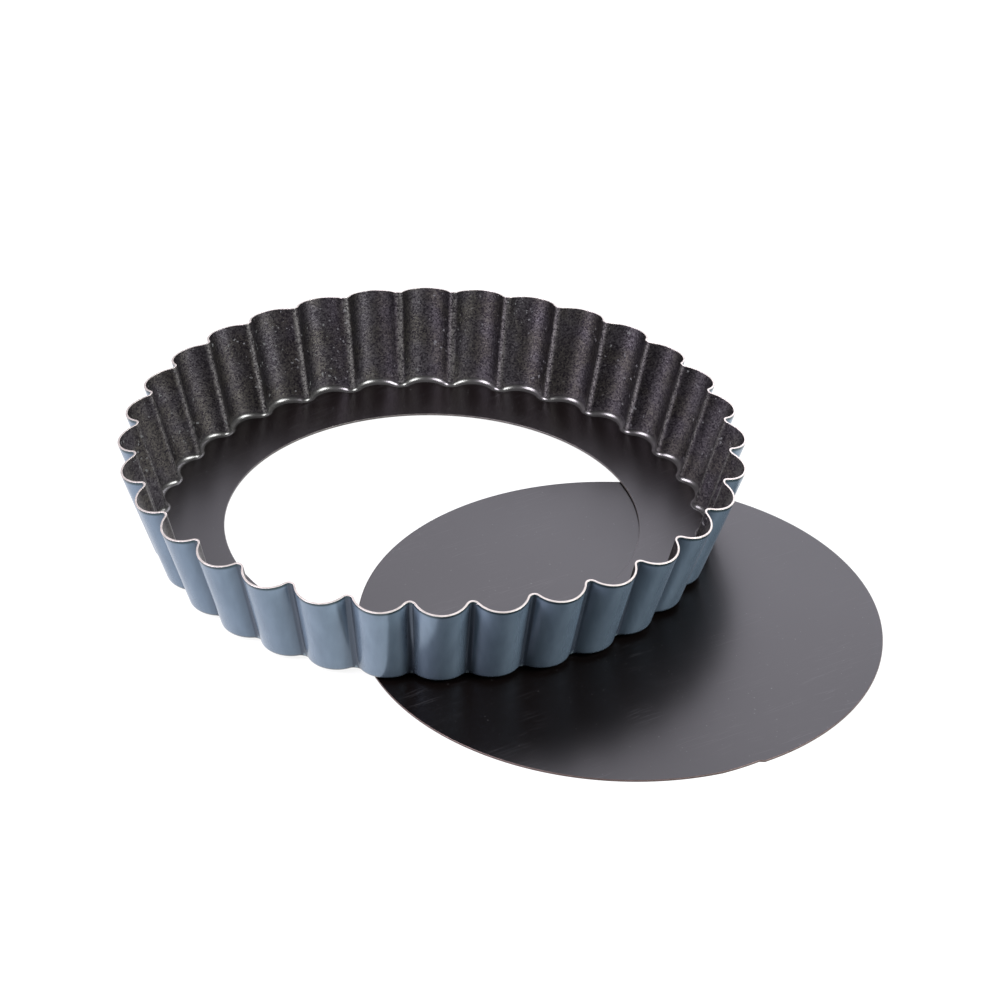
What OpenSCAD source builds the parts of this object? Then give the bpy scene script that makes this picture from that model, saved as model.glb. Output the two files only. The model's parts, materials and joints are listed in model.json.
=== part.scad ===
// A fluted tart pan with a loose base, taken apart on a worktop. The base, a plain round
// sheet, lies flat at the origin. The ring stands partly over it: one edge of its ledge is
// on the worktop and the other leans on the base's rim. +Z is up, lengths are millimetres.

/* [Sheet] */
// Thickness of the coated steel sheet
sheet_t = 0.8; // [0.6:0.1:1]

/* [Fluted wall] */
// Outside diameter of the rim, over the flutes
rim_d = 250; // [245:1:255]
// Outside diameter of the wall at its foot, over the flutes
foot_d = 226; // [222:1:230]
// Height of the wall at an inward ridge
wall_h = 40.6; // [30:0.2:50]
// How far the rim dips between two ridges
rim_dip = 1.8; // [0:0.1:3]
// Number of flutes round the wall
flutes = 32; // [28:1:34]
// Depth of a flute at the rim
rim_depth = 6.6; // [6:0.1:7]
// Depth of a flute at the foot
foot_depth = 4.9; // [4.5:0.1:5.5]
// Radius of an inward ridge, at the middle of the sheet
ridge_r = 2.4; // [2:0.1:2.8]
// Inside radius of the bend between the wall and the ledge, at an inward ridge
foot_r = 1.4; // [1:0.1:2]
// Inside radius of the same bend at the crown of a flute
crown_foot_r = 2.4; // [1.4:0.1:2.8]

/* [Ledge] */
// Diameter of the round opening in the ledge
opening_d = 167; // [150:1:180]

/* [Loose base] */
// Diameter of the loose base
base_d = 203.5; // [195:0.5:206]
// Bevel left along the base's sheared edge
base_bevel = 0.1; // [0.05:0.05:0.2]

/* [Arrangement] */
// Distance between the centres of the ring and the base
ring_shift = 100.6; // [95:0.2:110]
// Direction of the ring's centre, anticlockwise from +X
ring_bearing = 138.2; // [0:0.2:360]
// Turn of the flutes about the ring's own axis
flute_turn = 8.9; // [0:0.1:11]
// Clearance between the ledge and the rim of the base
lean_gap = 0.25; // [0.2:0.05:0.4]

/* [Hidden] */

round_fn = 180;

// One flute is a wide arc bulging outward between two narrow ridges turned inward.
half_flute = 180 / flutes;
ridge_steps = 3;
lobe_steps = 3;
bend_steps = 3;
half_steps = ridge_steps + lobe_steps;
columns = 2 * half_steps * flutes;

// Outermost and innermost radii of the wall's middle surface.
rim_lobe_r = rim_d / 2 - sheet_t / 2;
rim_ridge_r = rim_lobe_r - rim_depth;
foot_lobe_r = foot_d / 2 - sheet_t / 2;
foot_ridge_r = foot_lobe_r - foot_depth;

// The bend's radius, measured to the middle of the sheet, at a ridge and at a crown.
ridge_bend_r = foot_r + sheet_t / 2;
crown_bend_r = crown_foot_r + sheet_t / 2;

// The flat ledge reaches just under the bend at the ridges, and the wall's own floor laps
// over it there, a hair thinner than the ledge.
ledge_r = foot_ridge_r - ridge_bend_r - 0.2;
floor_inner_r = ledge_r - 1;
lap = 0.02;

// The ring touches the worktop where the floor of the farthest flute ends.
touch_r = foot_lobe_r - crown_bend_r;
base_r = base_d / 2;
opening_r = opening_d / 2;
lean_reach = (opening_r * opening_r + ring_shift * ring_shift - base_r * base_r)
    / (2 * ring_shift);
lean = atan((sheet_t + lean_gap) / (lean_reach + touch_r));
ring_z = touch_r * tan(lean);
toward_base = ring_bearing + 180;

// Radius of the outward arc that meets the ridge arcs smoothly.
function lobe_arc_r(lobe_r, ridge_tip_r) =
    let (ridge_c = ridge_tip_r + ridge_r, across = ridge_c * cos(half_flute))
    (lobe_r * lobe_r + ridge_c * ridge_c - 2 * lobe_r * across - ridge_r * ridge_r)
    / (2 * (ridge_r + lobe_r - across));

// Centre of the outward arc, in the half flute whose ridge lies on +X.
function lobe_centre(lobe_r, ridge_tip_r) =
    let (c = lobe_r - lobe_arc_r(lobe_r, ridge_tip_r))
    [c * cos(half_flute), c * sin(half_flute)];

// Direction from the ridge arc's centre to the point where the two arcs meet.
function join_angle(lobe_r, ridge_tip_r) =
    let (c = lobe_centre(lobe_r, ridge_tip_r))
    atan2(c[1], c[0] - ridge_tip_r - ridge_r);

// Point and outward normal, [x, y, nx, ny], at a step along the half flute.
function half_point(lobe_r, ridge_tip_r, step) =
    let (turn = join_angle(lobe_r, ridge_tip_r))
    step <= ridge_steps
    ? let (a = 180 + (turn - 180) * step / ridge_steps)
        [ridge_tip_r + ridge_r + ridge_r * cos(a), ridge_r * sin(a), -cos(a), -sin(a)]
    : let (
            c = lobe_centre(lobe_r, ridge_tip_r),
            arc_r = lobe_arc_r(lobe_r, ridge_tip_r),
            part = (step - ridge_steps) / lobe_steps,
            a = (turn - 180) * (1 - part) + half_flute * part
        )
        [c[0] + arc_r * cos(a), c[1] + arc_r * sin(a), cos(a), sin(a)];

// The same at a column counted all the way round: each flute is a half and its mirror.
function wall_point(lobe_r, ridge_tip_r, column) =
    let (
        flute = floor(column / (2 * half_steps)),
        far = column - flute * 2 * half_steps > half_steps,
        p = half_point(lobe_r, ridge_tip_r, half_step(column)),
        q = far ? mirrored(p) : p
    )
    turned(q, flute * 2 * half_flute);

// Steps from a column to the nearest ridge, 0 at a ridge's tip and half_steps at a crown.
function half_step(column) =
    let (step = column % (2 * half_steps))
    min(step, 2 * half_steps - step);

// Radius of the bend at a column, growing smoothly from ridge to crown.
function bend_radius(column) =
    let (part = (1 - cos(180 * half_step(column) / half_steps)) / 2)
    ridge_bend_r + (crown_bend_r - ridge_bend_r) * part;

// Reflection in the middle line of a flute.
function mirrored(p) =
    let (c = cos(2 * half_flute), s = sin(2 * half_flute))
    [c * p[0] + s * p[1], s * p[0] - c * p[1], c * p[2] + s * p[3], s * p[2] - c * p[3]];

function turned(p, a) =
    let (c = cos(a), s = sin(a))
    [c * p[0] - s * p[1], s * p[0] + c * p[1], c * p[2] - s * p[3], s * p[2] + c * p[3]];

// One column of the wall's closed section: floor, bend, outer face, rim, inner face, bend,
// floor. The wall leans outward by the angle flare.
function section(column) =
    let (
        foot = wall_point(foot_lobe_r, foot_ridge_r, column),
        top = wall_point(rim_lobe_r, rim_ridge_r, column),
        n = [foot[2], foot[3]],
        m = [top[2], top[3]],
        bend_r = bend_radius(column),
        bend_z = sheet_t / 2 + bend_r,
        radius = norm([top[0], top[1]]),
        top_z = wall_h - rim_dip * (radius - rim_ridge_r) / rim_depth,
        rise = top_z - bend_z,
        run = ([top[0], top[1]] - [foot[0], foot[1]]) * n,
        flare = atan(run / rise),
        centre = [foot[0], foot[1]] - n * bend_r,
        inward = [foot[0], foot[1]] / norm([foot[0], foot[1]]) * floor_inner_r,
        rim_out = m * cos(flare) * sheet_t / 2,
        rim_drop = sin(flare) * sheet_t / 2
    )
    concat(
        [[inward[0], inward[1], lap]],
        [for (i = [0:bend_steps])
            bend_point(centre, n, bend_z, bend_r + half_at(i), bend_angle(flare, i))],
        [[top[0] + rim_out[0], top[1] + rim_out[1], top_z - rim_drop]],
        [[top[0] - rim_out[0], top[1] - rim_out[1], top_z + rim_drop]],
        [for (i = [bend_steps:-1:0])
            bend_point(centre, n, bend_z, bend_r - half_at(i), bend_angle(flare, i))],
        [[inward[0], inward[1], sheet_t - lap]]
    );

// Half the sheet, less the hair taken off where the floor laps over the ledge.
function half_at(i) = sheet_t / 2 - (i == 0 ? lap : 0);

// Angle below the horizontal at a step of the bend, from straight down to square to the wall.
function bend_angle(flare, i) = 90 - (90 - flare) * i / bend_steps;

function bend_point(centre, n, z, r, down) =
    [centre[0] + n[0] * r * cos(down), centre[1] + n[1] * r * cos(down), z - r * sin(down)];

module wall() {
    sections = [for (i = [0:columns - 1]) section(i)];
    rows = len(sections[0]);
    points = [for (s = sections) each s];
    faces = [
        for (i = [0:columns - 1])
        for (j = [0:rows - 1])
        let (
            i2 = (i + 1) % columns,
            j2 = (j + 1) % rows,
            a = i * rows + j,
            b = i2 * rows + j,
            c = i2 * rows + j2,
            d = i * rows + j2
        )
        each [[a, c, b], [a, d, c]]
    ];
    polyhedron(points = points, faces = faces);
}

module ledge() {
    difference() {
        cylinder(h = sheet_t, r = ledge_r, $fn = round_fn);
        translate([0, 0, -1])
            cylinder(h = sheet_t + 2, r = opening_r, $fn = round_fn);
    }
}

// The ring: the fluted wall and its inward ledge, pressed from one sheet.
module fluted_ring() {
    color("#4a5a68")
    translate([ring_shift * cos(ring_bearing), ring_shift * sin(ring_bearing), ring_z])
    rotate([0, 0, toward_base])
    rotate([0, -lean, 0])
    rotate([0, 0, flute_turn - toward_base])
    union() {
        wall();
        ledge();
    }
}

// The loose base: a flat round sheet with a fine bevel along its sheared edge.
module loose_base() {
    color("#3c3c40")
    rotate_extrude($fn = round_fn)
    polygon([
        [0, 0],
        [base_r - base_bevel, 0],
        [base_r, base_bevel],
        [base_r, sheet_t - base_bevel],
        [base_r - base_bevel, sheet_t],
        [0, sheet_t]
    ]);
}

fluted_ring();
loose_base();
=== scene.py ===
"""The looks of a fluted tart pan with a loose base, lying apart on a pale worktop.

The ring is one thin sheet: a fluted wall, a tight bend and a flat ledge. Its middle surface is
worked out by formula, in rows that run from the opening to the rim, and both skins are offset
from it. The base is a turned disc. Lengths are metres, and angles in degrees are turned into
radians where they are used.
"""
import json
import math

import bpy
import numpy as np
from mathutils import Matrix, Vector


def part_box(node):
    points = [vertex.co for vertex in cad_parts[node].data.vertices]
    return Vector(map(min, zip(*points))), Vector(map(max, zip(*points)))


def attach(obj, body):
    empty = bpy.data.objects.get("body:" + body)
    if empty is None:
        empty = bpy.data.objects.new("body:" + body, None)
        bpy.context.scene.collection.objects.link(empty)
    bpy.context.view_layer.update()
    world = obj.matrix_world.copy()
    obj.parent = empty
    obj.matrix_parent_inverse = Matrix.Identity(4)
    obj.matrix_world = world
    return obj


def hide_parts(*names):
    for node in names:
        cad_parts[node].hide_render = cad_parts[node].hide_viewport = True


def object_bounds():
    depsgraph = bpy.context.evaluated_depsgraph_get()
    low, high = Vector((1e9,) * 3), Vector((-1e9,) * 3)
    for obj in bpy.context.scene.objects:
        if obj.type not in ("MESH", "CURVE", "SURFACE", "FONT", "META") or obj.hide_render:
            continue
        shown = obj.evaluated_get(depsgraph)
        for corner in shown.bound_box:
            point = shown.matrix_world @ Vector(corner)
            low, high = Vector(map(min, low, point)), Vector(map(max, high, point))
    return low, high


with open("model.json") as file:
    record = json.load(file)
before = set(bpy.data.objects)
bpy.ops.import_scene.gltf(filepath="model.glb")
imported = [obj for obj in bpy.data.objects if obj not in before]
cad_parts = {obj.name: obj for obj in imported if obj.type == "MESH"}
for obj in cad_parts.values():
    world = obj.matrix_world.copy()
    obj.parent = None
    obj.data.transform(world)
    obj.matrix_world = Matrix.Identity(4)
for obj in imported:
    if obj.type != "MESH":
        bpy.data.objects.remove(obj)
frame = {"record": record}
CAD_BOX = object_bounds()
MM = 0.001

# --- sizes shared with the CAD model ------------------------------------------------------
MOUNTS = {mount["name"]: mount for mount in frame["record"]["mounts"]}
OPENING = MOUNTS["ledge_opening"]
SHEET = OPENING["dims"]["length_mm"] * MM
OPENING_R = OPENING["dims"]["r_mm"] * MM
BASE_LOW, BASE_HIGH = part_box("loose_base")
BASE_R = (BASE_HIGH.x - BASE_LOW.x) / 2
FLUTES = 32
FLUTE_TURN = math.radians(8.9)
HALF_FLUTE = math.pi / FLUTES
WALL_H = 40.6 * MM
RIM_DIP = 1.8 * MM
RIM_LOBE_R = 124.6 * MM
RIM_DEPTH = 6.6 * MM
FOOT_LOBE_R = 112.6 * MM
FOOT_DEPTH = 4.9 * MM
RIDGE_R = 2.4 * MM
RIDGE_BEND_R = 1.4 * MM + SHEET / 2
CROWN_BEND_R = 2.4 * MM + SHEET / 2

# --- sizes of the visible mesh alone ------------------------------------------------------
# The ring's sheared edges: the radius of their corners, and how far from the edge a row of
# vertices keeps the skins' shading flat.
EDGE_ROUND = 0.08 * MM
EDGE_SUPPORT = 0.4 * MM
# The same for the base, and the width of its outermost band, which gives way to the nick.
BASE_EDGE = 0.15 * MM
BASE_SUPPORT = 0.5 * MM
BASE_BAND = 4 * MM
# The nick is a small step in the base's sheared edge. The edge falls short of the circle by
# more and more over NICK_RUN degrees, by NICK_DEPTH at NICK_AT degrees, and then steps back.
NICK_DEPTH = 1.1 * MM
NICK_AT = 300
NICK_RUN = 9
# The worktop: half its side, and its gap under the pan.
FLOOR_HALF = 4.0
FLOOR_GAP = 0.05 * MM

# --- finishes, by material index ----------------------------------------------------------
INSIDE, OUTSIDE, RIM_EDGE, HOLE_EDGE = range(4)
COAT, SHEARED = range(2)

# --- how finely the sheets are divided ----------------------------------------------------
RIDGE_STEPS = 7
LOBE_STEPS = 10
LEDGE_ROWS = 9
BEND_ROWS = 9
WALL_ROWS = 16
# Above 1, the ledge's rows crowd towards the bend.
LEDGE_CROWDING = 1.6
BASE_RINGS = 7
# One for each degree, which is how the nick's place is counted.
BASE_SPOKES = 360


# --- the ring's middle surface ------------------------------------------------------------
def half_outline(lobe_r, ridge_tip_r):
    """Points and outward normals from the tip of an inward ridge to the crown of a flute."""
    ridge_centre = ridge_tip_r + RIDGE_R
    across = ridge_centre * math.cos(HALF_FLUTE)
    arc_r = (lobe_r**2 + ridge_centre**2 - 2 * lobe_r * across - RIDGE_R**2) / (
        2 * (RIDGE_R + lobe_r - across)
    )
    centre_r = lobe_r - arc_r
    centre = np.array([centre_r * math.cos(HALF_FLUTE), centre_r * math.sin(HALF_FLUTE)])
    join = math.atan2(centre[1], centre[0] - ridge_centre)
    on_ridge = np.linspace(math.pi, join, RIDGE_STEPS + 1)
    on_lobe = np.linspace(join - math.pi, HALF_FLUTE, LOBE_STEPS + 1)[1:]
    ridge_way = np.column_stack([np.cos(on_ridge), np.sin(on_ridge)])
    lobe_way = np.column_stack([np.cos(on_lobe), np.sin(on_lobe)])
    points = np.vstack([[ridge_centre, 0] + RIDGE_R * ridge_way, centre + arc_r * lobe_way])
    normals = np.vstack([-ridge_way, lobe_way])
    return points, normals


def across_flutes():
    """How far across a flute each column lies: 0 at a ridge's tip, 1 where the ridge's arc
    ends, 2 at the flute's crown."""
    half = np.concatenate(
        [np.linspace(0, 1, RIDGE_STEPS + 1), np.linspace(1, 2, LOBE_STEPS + 1)[1:]]
    )
    return np.tile(np.concatenate([half, half[-2:0:-1]]), FLUTES)


def outline(lobe_r, ridge_tip_r):
    """The closed fluted outline: points and outward normals, a flute at a time."""
    points, normals = half_outline(lobe_r, ridge_tip_r)
    double = 2 * HALF_FLUTE
    flip = np.array(
        [[math.cos(double), math.sin(double)], [math.sin(double), -math.cos(double)]]
    )
    one = np.vstack([points, (points @ flip.T)[-2:0:-1]])
    one_normal = np.vstack([normals, (normals @ flip.T)[-2:0:-1]])
    all_points, all_normals = [], []
    for flute in range(FLUTES):
        angle = flute * double
        turn = np.array(
            [[math.cos(angle), -math.sin(angle)], [math.sin(angle), math.cos(angle)]]
        )
        all_points.append(one @ turn.T)
        all_normals.append(one_normal @ turn.T)
    return np.vstack(all_points), np.vstack(all_normals)


def middle_surface():
    """Rows of points and of unit normals that face out of the pan, and how far along the sheet
    each row lies: 0 at the opening, 1 and 2 at the bend's two ends, 3 at the rim."""
    foot, foot_out = outline(FOOT_LOBE_R, FOOT_LOBE_R - FOOT_DEPTH)
    rim, rim_out = outline(RIM_LOBE_R, RIM_LOBE_R - RIM_DEPTH)
    columns = len(foot)
    grow = (1 - np.cos(math.pi / 2 * across_flutes())) / 2
    bend_r = RIDGE_BEND_R + (CROWN_BEND_R - RIDGE_BEND_R) * grow
    bend_z = SHEET / 2 + bend_r
    radius = np.linalg.norm(rim, axis=1)
    rim_z = WALL_H - RIM_DIP * (radius - (RIM_LOBE_R - RIM_DEPTH)) / RIM_DEPTH
    run = ((rim - foot) * foot_out).sum(1)
    flare = np.arctan2(run, rim_z - bend_z)
    centre = foot - foot_out * bend_r[:, None]
    opening = foot / np.linalg.norm(foot, axis=1)[:, None] * OPENING_R
    rows, normals, along = [], [], []
    down = np.tile([0.0, 0.0, -1.0], (columns, 1))
    for step in range(LEDGE_ROWS):
        part = 1 - (1 - step / LEDGE_ROWS) ** LEDGE_CROWDING
        flat = opening + (centre - opening) * part
        rows.append(np.column_stack([flat, np.full(columns, SHEET / 2)]))
        normals.append(down)
        along.append(part)
    for step in range(BEND_ROWS + 1):
        angle = math.pi / 2 - (math.pi / 2 - flare) * step / BEND_ROWS
        out = foot_out * np.cos(angle)[:, None]
        normal = np.column_stack([out, -np.sin(angle)])
        flat = centre + out * bend_r[:, None]
        rows.append(np.column_stack([flat, bend_z - bend_r * np.sin(angle)]))
        normals.append(normal)
        along.append(1 + step / BEND_ROWS)
    low = rows[-1]
    top = np.column_stack([rim, rim_z])
    low_normal = normals[-1]
    top_normal = np.column_stack([rim_out * np.cos(flare)[:, None], -np.sin(flare)])
    for step in range(1, WALL_ROWS + 1):
        part = step / WALL_ROWS
        rows.append(low + (top - low) * part)
        normal = low_normal * (1 - part) + top_normal * part
        normals.append(normal / np.linalg.norm(normal, axis=1)[:, None])
        along.append(2 + part)
    return rows, normals, along


def ring_section():
    """The closed section, row by row: down the inside, round the opening, up the outside and
    over the rim. Each row is (points, how far along the sheet, finish of the next strip)."""
    rows, normals, along = middle_surface()
    half = SHEET / 2
    section = []

    def edge(last, before, side, skin, finish, next_skin):
        """A sheared edge with rounded corners, from one skin to the other. A row close to each
        corner keeps the skins' shading flat up to it."""
        way = rows[last] - rows[before]
        way /= np.linalg.norm(way, axis=1)[:, None]

        def add_row(inset, across, next_finish):
            points = rows[last] - way * inset + normals[last] * across
            section.append((points, along[last], next_finish))

        add_row(EDGE_SUPPORT, side * half, skin)
        for sign, turns in ((side, (0, 45, 90)), (-side, (90, 45, 0))):
            for turn in turns:
                a = math.radians(turn)
                inset = EDGE_ROUND * (1 - math.sin(a))
                across = sign * (half + EDGE_ROUND * (math.cos(a) - 1))
                leaving = sign == -side and turn == 0
                add_row(inset, across, next_skin if leaving else finish)
        add_row(EDGE_SUPPORT, -side * half, next_skin)

    for row in range(len(rows) - 2, 0, -1):
        section.append((rows[row] - normals[row] * half, along[row], INSIDE))
    edge(0, 1, -1, INSIDE, HOLE_EDGE, OUTSIDE)
    for row in range(1, len(rows) - 1):
        section.append((rows[row] + normals[row] * half, along[row], OUTSIDE))
    edge(-1, -2, 1, OUTSIDE, RIM_EDGE, INSIDE)
    return section


def mesh_object(name, points, faces, materials, face_materials):
    mesh = bpy.data.meshes.new(name)
    mesh.from_pydata([tuple(p) for p in points], [], faces)
    for material in materials:
        mesh.materials.append(material)
    mesh.polygons.foreach_set("material_index", face_materials)
    mesh.polygons.foreach_set("use_smooth", [True] * len(faces))
    mesh.validate()
    mesh.update()
    piece = bpy.data.objects.new(name, mesh)
    bpy.context.scene.collection.objects.link(piece)
    return piece


def keep(piece, name, kind, values):
    """Keeps a number or a vector for each vertex, which the materials read."""
    layer = piece.data.attributes.new(name, kind, "POINT")
    field = "vector" if kind == "FLOAT_VECTOR" else "value"
    layer.data.foreach_set(field, np.asarray(values, np.float32).ravel())


def make_ring(materials):
    section = ring_section()
    columns, rows = len(section[0][0]), len(section)
    points = np.vstack([points for points, _, _ in section])
    along = np.repeat([along for _, along, _ in section], columns)
    faces, face_materials = [], []
    for row in range(rows):
        following = (row + 1) % rows
        for column in range(columns):
            beside = (column + 1) % columns
            faces.append(
                (
                    row * columns + column,
                    row * columns + beside,
                    following * columns + beside,
                    following * columns + column,
                )
            )
            face_materials.append(section[row][2])
    piece = mesh_object("fluted_ring_sheet", points, faces, materials, face_materials)
    keep(piece, "place", "FLOAT_VECTOR", points)
    keep(piece, "along", "FLOAT", along)
    keep(piece, "across", "FLOAT", np.tile(across_flutes(), rows))
    # The bore's axis leans as the ring does, and its middle is half a sheet off the underside.
    axis = Vector(OPENING["axis"])
    origin = Vector(OPENING["pos_m"]) - axis * SHEET / 2
    lean = Vector((0, 0, 1)).rotation_difference(axis).to_matrix().to_4x4()
    spin = Matrix.Rotation(FLUTE_TURN, 4, "Z")
    piece.data.transform(Matrix.Translation(origin) @ lean @ spin)
    return piece


def base_section():
    """The base's half section from top to underside: (radius, height, finish of the next
    strip)."""
    flat = list(np.linspace(0.0, BASE_R - BASE_BAND, BASE_RINGS + 1)[1:])
    flat.append(BASE_R - BASE_SUPPORT)
    section = [(r, SHEET, COAT) for r in flat]
    for turn in (0, 30, 60, 90):
        a = math.radians(turn)
        over, up = BASE_EDGE * (math.sin(a) - 1), BASE_EDGE * (math.cos(a) - 1)
        section.append((BASE_R + over, SHEET + up, SHEARED))
    for turn in (0, 30, 60, 90):
        a = math.radians(turn)
        over, down = BASE_EDGE * (math.cos(a) - 1), BASE_EDGE * (1 - math.sin(a))
        section.append((BASE_R + over, down, COAT if turn == 90 else SHEARED))
    section += [(r, 0.0, COAT) for r in reversed(flat)]
    return section


def make_base(materials):
    """The loose base: a thin disc turned from its half section, with a nick in its edge."""
    section = base_section()
    points, faces, face_materials = [(0.0, 0.0, SHEET)], [], []
    for r, z, _ in section:
        for spoke in range(BASE_SPOKES):
            a = 2 * math.pi * spoke / BASE_SPOKES
            short = NICK_DEPTH * max(0.0, 1 - (NICK_AT - spoke) / NICK_RUN)
            if spoke > NICK_AT:
                short = 0.0
            nicked = r - short * max(0.0, 1 - (BASE_R - r) / BASE_BAND)
            points.append((nicked * math.cos(a), nicked * math.sin(a), z))
    points.append((0.0, 0.0, 0.0))
    last = len(points) - 1
    rows = len(section)
    for spoke in range(BASE_SPOKES):
        beside = (spoke + 1) % BASE_SPOKES
        faces.append((0, 1 + spoke, 1 + beside))
        face_materials.append(COAT)
        for row in range(rows - 1):
            this = 1 + row * BASE_SPOKES
            following = this + BASE_SPOKES
            faces.append((this + spoke, following + spoke, following + beside, this + beside))
            face_materials.append(section[row][2])
        lowest = 1 + (rows - 1) * BASE_SPOKES
        faces.append((lowest + spoke, last, lowest + beside))
        face_materials.append(COAT)
    piece = mesh_object("loose_base_sheet", points, faces, materials, face_materials)
    keep(piece, "place", "FLOAT_VECTOR", points)
    return piece


# --- materials ----------------------------------------------------------------------------
class Nodes:
    """A short way to write a node material."""

    def __init__(self, name):
        self.material = bpy.data.materials.new(name)
        self.material.use_nodes = True
        self.tree = self.material.node_tree
        self.shader = self.tree.nodes["Principled BSDF"]

    def add(self, kind, **settings):
        node = self.tree.nodes.new(kind)
        for key, value in settings.items():
            setattr(node, key, value)
        return node

    def link(self, output, target):
        self.tree.links.new(output, target)

    def feed(self, value, target):
        """Links an output, or sets a plain number or colour."""
        if isinstance(value, bpy.types.NodeSocket):
            self.link(value, target)
        elif isinstance(value, tuple):
            target.default_value = (*value, 1)
        else:
            target.default_value = value

    def into(self, **values):
        """Sets the shader's own inputs, such as Base_Color or Roughness."""
        for key, value in values.items():
            self.feed(value, self.shader.inputs[key.replace("_", " ")])

    def place(self, lengths=(1, 1, 1), turn=0.0):
        """The point's place on the piece, divided by lengths along axes turned about Z."""
        source = self.add("ShaderNodeAttribute", attribute_name="place")
        mapping = self.add("ShaderNodeMapping", vector_type="TEXTURE")
        mapping.inputs["Rotation"].default_value = (0, 0, turn)
        mapping.inputs["Scale"].default_value = lengths
        self.link(source.outputs["Vector"], mapping.inputs["Vector"])
        return mapping.outputs["Vector"]

    def number(self, name):
        """A number kept for each vertex."""
        return self.add("ShaderNodeAttribute", attribute_name=name).outputs["Fac"]

    def noise(self, size, detail=2.0, roughness=0.5, turn=0.0):
        """Noise with features of the given size in metres, one number or one for each axis."""
        lengths = size if isinstance(size, tuple) else (size, size, size)
        node = self.add("ShaderNodeTexNoise")
        node.inputs["Scale"].default_value = 1
        node.inputs["Detail"].default_value = detail
        node.inputs["Roughness"].default_value = roughness
        self.link(self.place(lengths, turn), node.inputs["Vector"])
        return node.outputs["Fac"]

    def cells(self, size):
        """Grains of the given size, each with its own even number from 0 to 1."""
        node = self.add("ShaderNodeTexVoronoi")
        node.inputs["Scale"].default_value = 1
        self.link(self.place((size, size, size)), node.inputs["Vector"])
        parts = self.add("ShaderNodeSeparateColor")
        self.link(node.outputs["Color"], parts.inputs["Color"])
        return parts.outputs["Red"]

    def ramp(self, value, stops):
        node = self.add("ShaderNodeValToRGB")
        elements = node.color_ramp.elements
        while len(elements) < len(stops):
            elements.new(0.5)
        for element, (position, colour) in zip(elements, stops):
            element.position = position
            element.color = (*colour, 1)
        self.link(value, node.inputs["Fac"])
        return node.outputs["Color"]

    def span(self, value, low, high, to_low=0.0, to_high=1.0):
        """Maps low..high to to_low..to_high, and holds the ends outside that."""
        node = self.add("ShaderNodeMapRange")
        for key, number in zip(
            ("From Min", "From Max", "To Min", "To Max"), (low, high, to_low, to_high)
        ):
            node.inputs[key].default_value = number
        self.link(value, node.inputs["Value"])
        return node.outputs["Result"]

    def math(self, operation, first, second):
        node = self.add("ShaderNodeMath", operation=operation)
        self.feed(first, node.inputs[0])
        self.feed(second, node.inputs[1])
        return node.outputs["Value"]

    def mix(self, factor, first, second):
        """A colour between first and second."""
        node = self.add("ShaderNodeMix", data_type="RGBA")
        self.feed(factor, node.inputs["Factor"])
        self.feed(first, node.inputs[6])
        self.feed(second, node.inputs[7])
        return node.outputs[2]

    def bump(self, height, strength, distance):
        node = self.add("ShaderNodeBump")
        node.inputs["Strength"].default_value = strength
        node.inputs["Distance"].default_value = distance
        self.link(height, node.inputs["Height"])
        return node.outputs["Normal"]

    def scratches(self, length, width, turn, level):
        """Sparse fine streaks that lie along one direction, in degrees, gathered in patches. A
        higher level leaves fewer."""
        streak = self.noise((length, width, 1), 1, 0.5, math.radians(turn))
        patch = self.noise(0.03, 2)
        return self.math(
            "MULTIPLY", self.span(streak, level, level + 0.06), self.span(patch, 0.45, 0.6)
        )


def smooth_coat(m, dark, pale):
    """The even, satin non-stick coat of the base and the ledge: colour and roughness."""
    tone = m.noise(0.05, 3)
    # The scratches lie nearly one way, so that no two of them cross in a shape like a letter.
    long_marks = m.scratches(0.035, 0.0005, 33, 0.67)
    short_marks = m.math(
        "MAXIMUM", m.scratches(0.022, 0.0005, 26, 0.68), m.scratches(0.014, 0.0005, 38, 0.69)
    )
    marks = m.math("MAXIMUM", long_marks, short_marks)
    specks = m.span(m.noise(0.0011, 1), 0.77, 0.79)
    colour = m.ramp(tone, [(0.3, dark), (0.7, pale)])
    colour = m.mix(m.math("MULTIPLY", marks, 0.55), colour, (0.02, 0.019, 0.02))
    colour = m.mix(specks, colour, (0.03, 0.03, 0.03))
    # Below about 0.27 the denoiser treats a surface as a mirror, and a roughness that varies
    # across that shows contour lines.
    roughness = m.span(m.noise(0.08, 1), 0.3, 0.7, 0.285, 0.32)
    return colour, roughness


def base_coat():
    m = Nodes("nonstick_base")
    colour, roughness = smooth_coat(m, (0.0009, 0.0005, 0.0004), (0.0013, 0.0008, 0.0007))
    m.into(
        Base_Color=colour,
        Roughness=roughness,
        Specular_IOR_Level=0.2,
        Normal=m.bump(m.noise(0.0006, 2), 0.05, 0.0001),
    )
    return m.material


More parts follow.
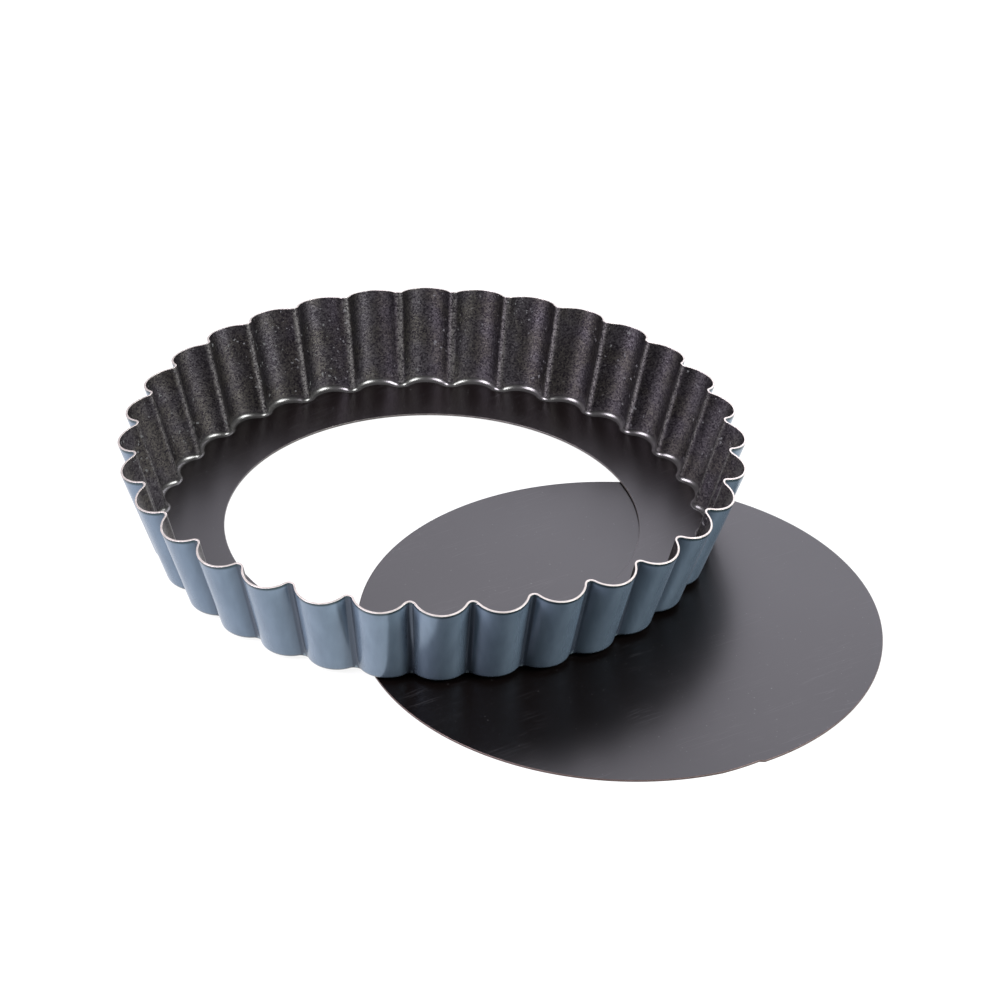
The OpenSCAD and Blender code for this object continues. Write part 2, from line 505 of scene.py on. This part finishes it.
def ring_coat():
    """Inside the ring: smooth on the ledge, glossier in the bend and grainy up the wall. Each
    grain of the wall is a flake that mirrors more or less of the light, and a few are chips."""
    m = Nodes("nonstick_ring")
    along = m.number("along")
    colour, roughness = smooth_coat(m, (0.0017, 0.001, 0.001), (0.0026, 0.0017, 0.0017))
    wall = m.span(along, 1.95, 2.05)
    bend = m.math("MULTIPLY", m.span(along, 1.0, 1.15), m.span(along, 2.02, 1.97))
    ridge = m.span(m.number("across"), 0.7, 0.25)
    grains = m.cells(0.0006)
    chips = m.math("MULTIPLY", m.span(m.noise(0.0018, 1), 0.7, 0.72), wall)
    chips = m.math("MULTIPLY", chips, m.span(m.noise(0.04, 1), 0.42, 0.52))
    warm = m.span(m.noise(0.012, 2), 0.4, 0.6)
    tint = m.mix(warm, (0.082, 0.0755, 0.081), (0.082, 0.0755, 0.068))
    # Painted highlight: the flakes turn paler on the ridges, which brightens each ridge's line
    # of light.
    tint = m.mix(ridge, tint, (0.18, 0.17, 0.165))
    flakes = m.mix(grains, (0.022, 0.019, 0.023), tint)
    coat = m.mix(bend, m.mix(wall, colour, flakes), (0.07, 0.068, 0.066))
    pits = m.math("MULTIPLY", m.math("SUBTRACT", m.noise(0.001, 2, 0.6), 0.5), wall)
    metallic = m.math("ADD", m.math("MULTIPLY", bend, 0.85), wall)
    m.into(
        Base_Color=m.mix(chips, coat, (0.06, 0.06, 0.06)),
        Metallic=m.math("SUBTRACT", metallic, chips),
        Roughness=m.math("ADD", roughness, m.math("MULTIPLY", wall, 0.1)),
        Specular_IOR_Level=0.2,
        Normal=m.bump(pits, 0.35, 0.0003),
    )
    return m.material


def lacquer():
    """Outside the ring: blue-grey, with painted shade in the grooves, round the foot and in a
    line under the rim, and a pale painted highlight at the feet of the ridges."""
    m = Nodes("lacquer_outside")
    along, across = m.number("along"), m.number("across")
    tone = m.noise((0.004, 0.004, 0.03), 3)
    colour = m.ramp(tone, [(0.3, (0.115, 0.157, 0.205)), (0.7, (0.14, 0.188, 0.242))])
    # Painted shade: the lacquer darkens towards the grooves, where they are shaded.
    colour = m.mix(m.span(across, 1.3, 0.6, 0, 0.75), colour, (0.025, 0.03, 0.045))
    # Painted highlight: the lacquer turns pale at the feet of the ridges, where small facets
    # catch the light.
    painted_foot_glint = m.math("MULTIPLY", m.span(across, 0.4, 0.15), m.span(along, 1.6, 1.8))
    painted_foot_glint = m.math("MULTIPLY", painted_foot_glint, m.span(along, 2.03, 1.99))
    colour = m.mix(m.math("MULTIPLY", painted_foot_glint, 0.8), colour, (0.24, 0.31, 0.35))
    # Painted shade: the lacquer turns near black round the foot, for the shadow under it.
    colour = m.mix(m.span(along, 1.9, 1.6), colour, (0.008, 0.009, 0.011))
    # Painted shade: a darker line just under the rim, for the shaded underside of its turned
    # edge.
    colour = m.mix(m.span(along, 2.96, 2.985), colour, (0.03, 0.05, 0.06))
    m.into(
        Base_Color=colour,
        Metallic=0.6,
        Roughness=m.span(m.noise((0.003, 0.003, 0.02), 3), 0.3, 0.7, 0.22, 0.27),
        Normal=m.bump(m.noise((0.006, 0.006, 0.02), 2), 0.3, 0.0004),
    )
    return m.material


def bare_edge(name, low, high):
    """The bare steel of a sheared edge, in colours from low to high."""
    m = Nodes(name)
    m.into(
        Base_Color=m.ramp(m.noise(0.003, 3), [(0.3, low), (0.7, high)]),
        Metallic=0.6,
        Roughness=m.span(m.noise(0.001, 2), 0.3, 0.7, 0.35, 0.5),
    )
    return m.material


def floor_material():
    """A pale worktop that glows, so that it stays white right up to the pan."""
    m = Nodes("worktop_white")
    m.into(
        Base_Color=(0.06, 0.06, 0.06),
        Roughness=0.8,
        Emission_Color=(1.0, 1.0, 1.0),
        Emission_Strength=0.9,
    )
    return m.material


# --- camera, light and worktop ------------------------------------------------------------
def make_camera():
    """Looks along +Y and down, from the direction and distance of the reference view."""
    aim = Vector((-47.9, 86.4, 0)) * MM
    elevation, roll = math.radians(32.6), math.radians(1.7)
    distance = 1.499
    data = bpy.data.cameras.new("camera")
    data.lens = 132.4
    data.sensor_width = 36
    camera = bpy.data.objects.new("camera", data)
    bpy.context.scene.collection.objects.link(camera)
    forward = Vector((0, math.cos(elevation), -math.sin(elevation)))
    side = Vector((1, 0, 0))
    up = side.cross(forward)
    turned_side = side * math.cos(roll) + up * math.sin(roll)
    turned_up = up * math.cos(roll) - side * math.sin(roll)
    axes = Matrix((turned_side, turned_up, -forward)).transposed()
    camera.matrix_world = Matrix.Translation(aim - forward * distance) @ axes.to_4x4()
    bpy.context.scene.camera = camera


def softbox(name, azimuth, elevation, distance, size, radiance, colour):
    """A rectangular light that faces the object, placed by its direction in degrees."""
    centre = Vector((-0.03, 0.05, 0))
    a, e = math.radians(azimuth), math.radians(elevation)
    way = Vector((math.cos(a) * math.cos(e), math.sin(a) * math.cos(e), math.sin(e)))
    data = bpy.data.lights.new(name, "AREA")
    data.shape = "RECTANGLE"
    data.size, data.size_y = size
    data.energy = radiance * math.pi * size[0] * size[1]
    data.color = colour
    light = bpy.data.objects.new(name, data)
    bpy.context.scene.collection.objects.link(light)
    light.location = centre + way * distance
    light.rotation_euler = (-way).to_track_quat("-Z", "Y").to_euler()


def make_light():
    """Three softboxes and a dim, even sky. The two at the sides stand high enough that the
    flutes throw no streaks of their light onto the base."""
    world = bpy.data.worlds.new("studio")
    world.use_nodes = True
    background = world.node_tree.nodes["Background"]
    background.inputs["Color"].default_value = (1, 1, 1, 1)
    background.inputs["Strength"].default_value = 0.25
    bpy.context.scene.world = world
    # Azimuth, elevation, distance, size, radiance and colour.
    softbox("back", 75, 35, 2.2, (1.8, 1.8), 4.7, (0.98, 0.955, 1.08))
    softbox("left", 205, 40, 1.6, (0.85, 0.9), 34, (0.98, 0.935, 1.06))
    softbox("right", -25, 40, 1.6, (0.85, 0.9), 31, (0.96, 0.99, 1))
    bpy.context.scene.view_settings.view_transform = "Standard"


def make_floor():
    corners = [(-1, -1), (1, -1), (1, 1), (-1, 1)]
    points = [(x * FLOOR_HALF, y * FLOOR_HALF, 0) for x, y in corners]
    floor = mesh_object("worktop", points, [(0, 1, 2, 3)], [floor_material()], [0])
    floor.location.z = CAD_BOX[0].z - FLOOR_GAP


make_camera()
make_light()
make_floor()

ring = make_ring(
    [
        ring_coat(),
        lacquer(),
        bare_edge("bare_rim_edge", (0.26, 0.235, 0.215), (0.34, 0.31, 0.285)),
        bare_edge("bare_opening_edge", (0.05, 0.045, 0.042), (0.09, 0.08, 0.075)),
    ]
)
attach(ring, "ring")
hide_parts("fluted_ring")

base = make_base(
    [
        base_coat(),
        bare_edge("bare_base_edge", (0.045, 0.03, 0.026), (0.08, 0.056, 0.05)),
    ]
)
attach(base, "base")
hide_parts("loose_base")
